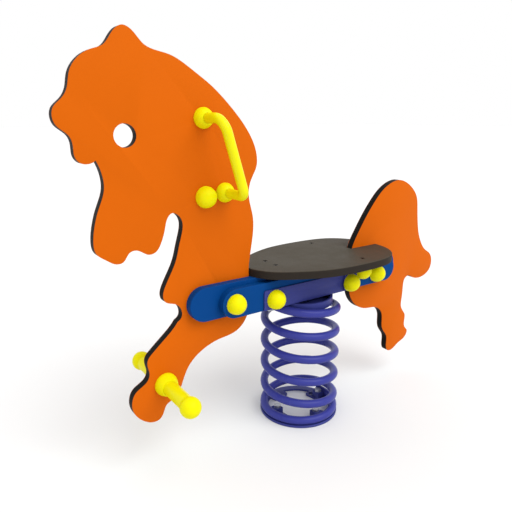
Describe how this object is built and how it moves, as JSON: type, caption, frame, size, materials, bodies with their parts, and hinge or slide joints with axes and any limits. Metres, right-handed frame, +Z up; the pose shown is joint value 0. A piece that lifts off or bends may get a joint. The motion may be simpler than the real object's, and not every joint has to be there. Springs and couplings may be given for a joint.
{
  "type": "spring rocker",
  "caption": "Horse-shaped playground spring rocker: flat sheet horse, seat, grips and foot pegs on one coil spring that bends fore-aft and sideways.",
  "frame": {"origin": "on the spring's axis at ground level, in the middle of the base ring's underside", "axes": "+X the way the horse faces, +Y its left side, +Z up"},
  "size_m": [1.0572, 0.2876, 0.895],
  "materials": {
    "spring_coating": "semi-gloss powder coat, violet blue",
    "frame_coating": "satin powder coat, violet blue",
    "horse_sheet": "orange polyethylene sheet with a black core showing at its edges",
    "board_sheet": "blue polyethylene board",
    "seat_sheet": "dark grey-brown non-slip sheet",
    "yellow_coating": "gloss yellow coated steel",
    "yellow_plastic": "moulded yellow plastic",
    "zinc_steel": "zinc-plated steel",
    "blackened_steel": "blackened socket screws, recessed in the seat"
  },
  "bodies": {
    "foot": {"base_ring": "frame_coating", "base_clamps": "frame_coating", "base_clamp_bolts": "zinc_steel"},
    "spring": {"spring": "spring_coating"},
    "rider": {"board_bolts": "zinc_steel", "channel_bolts": "zinc_steel", "cover_bases_left": "yellow_plastic", "cover_bases_right": "yellow_plastic", "cover_domes_left": "yellow_plastic", "cover_domes_right": "yellow_plastic", "cover_nuts": "zinc_steel", "cover_washers": "zinc_steel", "foot_peg_left": "yellow_coating", "foot_peg_right": "yellow_coating", "front_panel": "horse_sheet", "grip_bases_left": "yellow_plastic", "grip_bases_right": "yellow_plastic", "grip_domes_left": "yellow_plastic", "grip_domes_right": "yellow_plastic", "grip_plugs": "zinc_steel", "grip_studs": "zinc_steel", "hand_grip_left": "yellow_coating", "hand_grip_right": "yellow_coating", "inner_board_left": "board_sheet", "inner_board_right": "board_sheet", "mounting_channel": "frame_coating", "outer_board_left": "board_sheet", "outer_board_right": "board_sheet", "peg_collars": "yellow_plastic", "peg_end_balls": "yellow_plastic", "peg_rod": "zinc_steel", "rear_panel": "horse_sheet", "seat": "seat_sheet", "seat_bracket_left": "frame_coating", "seat_bracket_nuts": "zinc_steel", "seat_bracket_right": "frame_coating", "seat_screws_front": "blackened_steel", "seat_screws_rear": "blackened_steel", "spring_cup": "frame_coating", "top_clamp_bolts": "zinc_steel", "top_clamp_nuts": "zinc_steel", "top_clamps": "zinc_steel"}
  },
  "joints": [
    {"name": "rock_fore_aft", "type": "hinge", "parent": "foot", "child": "spring", "pos_m": [0, 0, 0.165], "axis": [0, 1, 0], "range_deg": [-11, 14], "stiffness_Nm_per_rad": 503, "springref_deg": -1.39, "deforming": ["spring"]},
    {"name": "rock_side", "type": "hinge", "parent": "spring", "child": "rider", "pos_m": [0, 0, 0.165], "axis": [1, 0, 0], "range_deg": [-14, 14], "stiffness_Nm_per_rad": 503, "deforming": ["spring"]}
  ]
}
